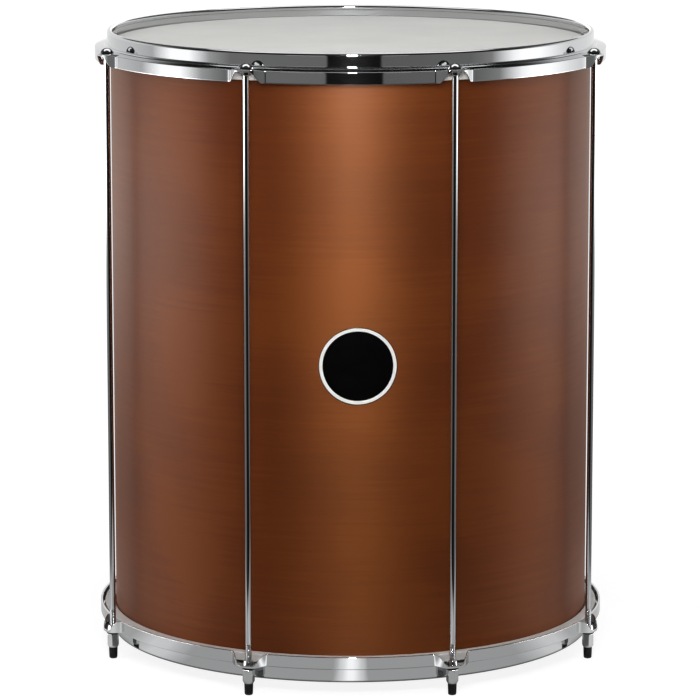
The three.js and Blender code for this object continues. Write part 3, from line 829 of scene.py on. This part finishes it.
def makeBadge():
    # A disc with a raised rim, bent round the shell: the point at a distance across, up and out from its
    # middle is at the angle across / back radius on a circle of the back radius + out. Its field is bare
    # black, and the ring on its rim is white inside a thin black edge.
    rim, thick = badge["diameter"] / 2, badge["thickness"]
    inside = rim - badge["rimWidth"]
    raised, ringEnd = thick + badge["rimRise"], rim - badge["edgeWidth"]
    corners = [(inside, 0), (rim, 0), (rim, raised), (ringEnd, raised), (inside, raised), (inside, thick),
               (inside - badge["fieldStart"], thick)]
    edge = roundedOutline(corners, badge["rounds"])[cornerPoints():-cornerPoints()]
    spread = np.linspace(0, 1, badge["rings"])[:, None]
    backRings = np.concatenate([spread * inside, spread * 0], -1)
    fieldRadius = inside - badge["fieldInset"]
    fieldRings = np.concatenate([(1 - spread) * fieldRadius, spread * 0 + thick], -1)
    profile = np.concatenate([backRings, edge, fieldRings])
    points, quads, fans = turnedSurface(profile, badge["steps"])
    back = drum["shellRadius"] + drum["seatGap"]
    across, up, out = points.T
    angle = badge["turn"] + across / back
    middle = (drum["shellFoot"] + drum["shellTop"]) / 2 + badge["aboveMiddle"]
    bent = np.stack([(back + out) * np.sin(angle), -(back + out) * np.cos(angle), middle + up], -1)
    face = np.concatenate([quads, np.concatenate([fans, fans[:, :1]], -1)])
    margin = badge["faceMargin"]
    beforeEdge = np.hypot(across, up)[face].max(-1) < ringEnd + margin
    onRing = beforeEdge & (out[face].min(-1) > thick + margin)
    piece = putMesh("shellBadge", bent, quads, fans, faceMaterial=np.where(onRing, 1, 0))
    finishPiece(piece, [blackEnamel, whiteEnamel], "drum", "badge_enamel", "badge")


makeBadge()
print("badge made")


# The studio

studio = {
    "floor": "#8a8a8a",
    "floorRadius": 12.0,
    "floorSteps": 96,
    "floorGlow": (0.88, 1.01),
    "glowFrom": (0.3, 0.9),
    "worldLight": 0.15,
    "screenSteps": 120,
}
# What reflections see round the drum: azimuth in degrees from the front toward +X, and radiance. Between
# two stops the radiance runs evenly from one to the other, and past the end ones it stays as it is there.
# Cards lie on the floor, low screens stand at their edge and level ones above them, at the height that the
# top hoop reflects. Dark ones hang over them, and a ceiling lies on top.
# Painted shadow: the dim card under the drum stands for the floor in the drum's shade, as reflections see
# it.
paintedShadowCard = [(0, 0.12)]
# Painted shade: the card round the drum's foot glows less than the floor and stands for the floor in the
# drum's soft shade, as reflections see it. A narrow strip in front and two bands at the sides glow brighter.
nearShadeCard = [
    (-180, 0.6), (-77, 0.55), (-66, 0.95), (-60, 0.92), (-50, 0.5), (-5, 0.5), (-0.6, 1.55), (0.6, 1.55),
    (5, 0.5), (52, 0.5), (65, 0.9), (70, 0.9), (78, 0.6),
]
floorCards = [(-42, 0.2), (-36, 0.01), (38, 0.01), (44, 0.2)]
footScreens = [
    (-120, 0.4), (-112, 0.6), (-76, 0.6), (-66, 0.25), (-42, 0.25), (-36, 0.01), (38, 0.01), (44, 0.25),
    (72, 0.25), (80, 0.5), (112, 0.5), (118, 0.4),
]
lowScreens = [
    (-180, 0.6), (-150, 1), (-138, 2.5), (-122, 2.5), (-112, 4), (-98, 9), (-88, 11), (-72, 11), (-64, 2.2),
    (-56, 0.5), (-42, 0.25), (-36, 0.01), (38, 0.01), (44, 0.25), (70, 0.3), (77, 8), (98, 8), (112, 3.5),
    (122, 1.8), (138, 1.5), (150, 1), (180, 0.6),
]
levelScreens = [
    (-180, 0.9), (-116, 0.8), (-99, 0.62), (-86, 1.7), (-75, 1.7), (-64, 0.5), (-54, 0.22), (-10.3, 0.2),
    (-9.5, 0.006), (12.7, 0.006), (13.4, 0.16), (54, 0.19), (64, 0.32), (76, 1.5), (82, 1.75), (93, 1.7),
    (107, 1.2), (116, 1), (180, 0.9),
]
stripScreens = [
    (-100, 1), (-85, 1), (-70, 0.3), (-28, 0.3), (-27, 0.75), (-11, 0.75), (-10, 0.01), (13, 0.01),
    (14, 0.75), (24, 0.75), (25, 0.3), (75, 0.3), (88, 1), (100, 1),
]
backScreens = [
    (-175, 1.9), (-169, 0.9), (-110, 0.9), (-80, 0.02), (80, 0.02), (110, 0.9), (169, 0.9), (175, 1.9),
]
highScreens = [(-110, 0.1), (-80, 0.02), (80, 0.02), (110, 0.1)]
spotScreens = [
    (-110, 0.1), (-80, 0.02), (80, 0.02), (110, 0.1), (175.2, 0.1), (175.8, 3), (179, 3), (179.6, 0.1),
]
ceiling = [(-80, 1.8), (-60, 0.05), (60, 0.05), (80, 1.8)]
ceilingMiddle = [(0, 2)]
# The same from the floor's middle outward, up and back to the axis, as (radius, height, stops) in metres
studioRings = [
    (0.001, 0.002, paintedShadowCard), (0.235, 0.002, paintedShadowCard), (0.262, 0.002, nearShadeCard), (0.5, 0.002, nearShadeCard),
    (0.6, 0.002, floorCards), (1.4, 0.002, floorCards),
    (1.5, 0.05, footScreens), (1.5, 0.2, lowScreens), (1.5, 0.33, lowScreens),
    (1.5, 0.38, levelScreens), (1.5, 0.5, levelScreens),
    (1.5, 0.52, stripScreens), (1.5, 0.62, stripScreens),
    (1.5, 0.64, backScreens), (1.5, 1.1, backScreens),
    (1.5, 1.2, highScreens), (1.5, 1.5, highScreens), (1.5, 1.56, spotScreens), (1.5, 1.78, spotScreens),
    (1.5, 1.84, highScreens), (1.5, 2.6, highScreens),
    (1.4, 2.6, ceiling), (0.2, 2.6, ceiling), (0.001, 2.6, ceilingMiddle),
]
# Softboxes: place, aim and size in metres, radiance, spread in degrees, and whether one is seen in the
# drum's shine or lights its colours
softboxes = {
    "keySoftbox": [(0.018, -1.4, 0.82), (0, 0, 0.5), (0.085, 0.5), 46, 85, "shine"],
    "frontSoftbox": [(0, -1.15, 0.85), (0, 0, 0.5), (0.5, 0.3), 9.8, 120, "colours"],
    "topSoftbox": [(0, 0, 2.3), (0, 0, 0), (1.2, 1.2), 2.75, 180, "colours"],
    "leftSoftbox": [(-1.2, -0.5, 1.25), (0, 0, 0.6), (0.5, 0.6), 2.0, 110, "colours"],
    "rightSoftbox": [(1.25, -0.3, 1.25), (0, 0, 0.6), (0.5, 0.6), 1.5, 110, "colours"],
}


def seenDirectly(tree):
    # One where the camera, a reflection or glass sees the surface, and zero where it lights the drum
    path = addNode(tree, "LightPath")
    seen = addNode(tree, "Math", {"operation": "MAXIMUM"},
                   {0: path.outputs["Is Camera Ray"], 1: path.outputs["Is Glossy Ray"]})
    seen = addNode(tree, "Math", {"operation": "MAXIMUM"},
                   {0: seen.outputs["Value"], 1: path.outputs["Is Transmission Ray"]})
    return seen.outputs["Value"]


def makeFloor():
    # A disc that glows where the camera and reflections see it, a little less near the drum, where its
    # paint also takes the lamps' light and the drum's soft shadow
    steps = studio["floorSteps"]
    angle = 2 * math.pi * np.arange(steps) / steps
    radius = studio["floorRadius"]
    edge = np.stack([radius * np.cos(angle), radius * np.sin(angle), angle * 0], -1)
    points = np.concatenate([edge, [[0, 0, 0]]]) / mm
    fans = np.stack([np.full(steps, steps), np.arange(steps), np.roll(np.arange(steps), -1)], -1)
    floor = putMesh("studioFloor", points, np.zeros((0, 4), int), fans)
    material, tree, place = newMaterial("whitePaintedFloor")
    fromDrum = addNode(tree, "VectorMath", {"operation": "LENGTH"}, {0: place})
    (near, far), (glowStart, glowEnd) = studio["floorGlow"], studio["glowFrom"]
    level = addNode(tree, "MapRange",
                    {"From Min": glowStart, "From Max": glowEnd, "To Min": near, "To Max": far},
                    {"Value": fromDrum.outputs["Value"]})
    glow = addNode(tree, "Math", {"operation": "MULTIPLY"}, {0: seenDirectly(tree), 1: level.outputs[0]})
    emission = addNode(tree, "Emission", {"Color": (1, 1, 1, 1)}, {"Strength": glow.outputs["Value"]})
    paint = addNode(tree, "BsdfDiffuse", {"Color": linear(studio["floor"])})
    both = addNode(tree, "AddShader", links={0: paint.outputs["BSDF"], 1: emission.outputs["Emission"]})
    addNode(tree, "OutputMaterial", links={"Surface": both.outputs["Shader"]})
    floor.data.materials.append(material)


def makeScreens():
    # Cards on the floor, screens round the drum and a ceiling over it, which only reflections see: a
    # profile of (radius, height) turned about Z. Each point's radiance is held as an attribute.
    azimuth = [np.linspace(-180, 180, studio["screenSteps"] + 1)]
    azimuth = azimuth + [[at for at, _ in stops] for _, _, stops in studioRings]
    azimuth = np.unique(np.concatenate(azimuth))
    angle = np.radians(azimuth)[:, None]
    radii, heights = np.array([(radius, height) for radius, height, _ in studioRings]).T
    points = np.stack(np.broadcast_arrays(radii * np.sin(angle), -radii * np.cos(angle), heights), -1)
    radiance = np.stack([np.interp(azimuth, *np.array(stops).T) for _, _, stops in studioRings], 1)
    rows, columns = radiance.shape
    quads = gridQuads(rows, columns, closed=False).reshape(rows, columns - 1, 4)[:-1].reshape(-1, 4)
    screens = putMesh("studioScreens", points.reshape(-1, 3) / mm, quads)
    held = screens.data.attributes.new("radiance", "FLOAT", "POINT")
    held.data.foreach_set("value", radiance.astype(np.float32).ravel())
    material, tree, _ = newMaterial("studioCards")
    value = addNode(tree, "Attribute", {"attribute_name": "radiance"})
    emission = addNode(tree, "Emission", {"Color": (1, 1, 1, 1)}, {"Strength": value.outputs["Fac"]})
    addNode(tree, "OutputMaterial", links={"Surface": emission.outputs["Emission"]})
    screens.data.materials.append(material)
    screens.visible_camera = screens.visible_diffuse = screens.visible_transmission = False
    screens.visible_shadow = screens.visible_volume_scatter = False


def addLamp(name, place, aim, size, radiance, spread, use):
    # A softbox, turned to face its aim. Its power is pi times its area times the radiance of its face.
    lamp = bpy.data.lights.new(name, "AREA")
    lamp.shape = "RECTANGLE"
    lamp.size, lamp.size_y = size
    lamp.energy = math.pi * lamp.size * lamp.size_y * radiance
    lamp.spread = math.radians(spread)
    holder = bpy.data.objects.new(name, lamp)
    bpy.context.scene.collection.objects.link(holder)
    holder.location = place
    away = np.array(place) - np.array(aim)
    flat = math.hypot(away[0], away[1])
    holder.rotation_euler = (math.atan2(flat, away[2]), 0, math.atan2(away[0], -away[1]))
    holder.visible_camera = False
    holder.visible_diffuse = use == "colours"
    holder.visible_glossy = use == "shine"


def makeWorld():
    # White where it is seen, and a weak even light on the drum
    world = bpy.data.worlds.new("studioLight")
    world.use_nodes = True
    tree = world.node_tree
    tree.nodes.clear()
    lit = addNode(tree, "Background", {"Color": (1, 1, 1, 1), "Strength": studio["worldLight"]})
    white = addNode(tree, "Background", {"Color": (1, 1, 1, 1), "Strength": 1.0})
    mixed = addNode(tree, "MixShader", links={0: seenDirectly(tree), 1: lit.outputs["Background"],
                                              2: white.outputs["Background"]})
    addNode(tree, "OutputWorld", links={"Surface": mixed.outputs["Shader"]})
    bpy.context.scene.world = world


makeFloor()
makeScreens()
makeWorld()
for name, softbox in softboxes.items():
    addLamp(name, *softbox)

# The lens and sensor are in millimetres, the distance and height in metres and the pitch in degrees
camera = {"lens": 204.248, "sensor": 36, "distance": 3.7788, "height": 0.97383, "pitch": 10.3726,
          "shift": -0.0007, "clipEnd": 60}


def makeCamera():
    lens = bpy.data.cameras.new("photographersCamera")
    lens.lens = camera["lens"]
    lens.sensor_width = camera["sensor"]
    lens.shift_x = camera["shift"]
    lens.clip_end = camera["clipEnd"]
    holder = bpy.data.objects.new("photographersCamera", lens)
    bpy.context.scene.collection.objects.link(holder)
    holder.location = (0, -camera["distance"], camera["height"])
    holder.rotation_euler = (math.radians(90 - camera["pitch"]), 0, 0)
    bpy.context.scene.camera = holder


makeCamera()
bpy.context.scene.view_settings.view_transform = "Standard"
print("studio made")
